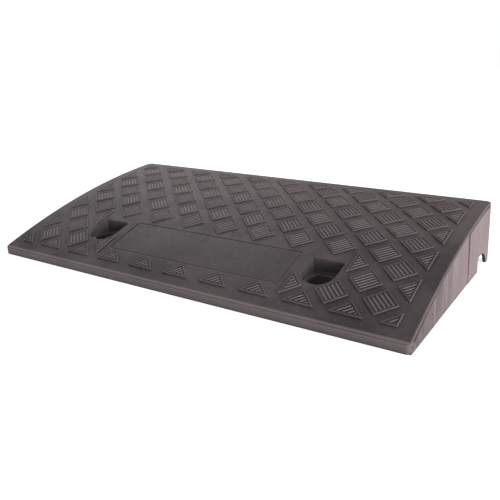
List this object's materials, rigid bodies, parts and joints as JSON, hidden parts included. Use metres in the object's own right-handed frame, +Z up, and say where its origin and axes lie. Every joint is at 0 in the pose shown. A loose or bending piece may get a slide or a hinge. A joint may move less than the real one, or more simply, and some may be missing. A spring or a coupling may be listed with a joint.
{
  "type": "kerb ramp",
  "caption": "Hollow moulded kerb ramp: a curved, studded deck that rises from a thin front lip to the kerb, with recessed bolt pockets and a cable channel along the rear.",
  "frame": {"origin": "middle of the footprint, on the ground", "axes": "+X along the kerb, +Y from the thin front edge to the kerb, +Z up"},
  "size_m": [0.49, 0.252, 0.0663],
  "materials": {
    "deck": "charcoal polypropylene, fine moulded grain",
    "tread": "charcoal polypropylene, ribbed pads",
    "panel": "charcoal polypropylene, smooth matt",
    "bolt_well": "charcoal polypropylene, smooth matt",
    "front_lip": "charcoal polypropylene, smooth satin",
    "side_wall": "charcoal polypropylene, fine moulded grain",
    "rib": "charcoal polypropylene, unpolished inner face"
  },
  "bodies": {
    "root": {"rear_deck": "deck", "toe_deck": "deck", "left_end_deck": "deck", "right_end_deck": "deck", "centre_panel": "panel", "left_bolt_well": "bolt_well", "right_bolt_well": "bolt_well", "front_lip": "front_lip", "rear_wall": "side_wall", "left_side_panel": "side_wall", "left_cheek": "side_wall", "right_side_panel": "side_wall", "right_cheek": "side_wall", "channel_wall": "rib", "channel_gussets": "rib", "cross_rib_1": "rib", "cross_rib_2": "rib", "cross_rib_3": "rib", "cross_rib_4": "rib", "cross_rib_5": "rib", "cross_rib_6": "rib", "cross_rib_7": "rib", "cross_rib_8": "rib", "cross_rib_9": "rib", "toe_long_rib": "rib", "middle_long_rib": "rib", "rear_long_rib": "rib", "tread_row_1": "tread", "tread_row_2": "tread", "tread_row_3": "tread", "tread_row_4": "tread", "tread_row_5": "tread", "tread_row_6": "tread", "tread_row_7": "tread", "tread_row_8": "tread", "tread_row_9": "tread", "tread_row_10": "tread", "tread_row_11": "tread"}
  },
  "joints": []
}
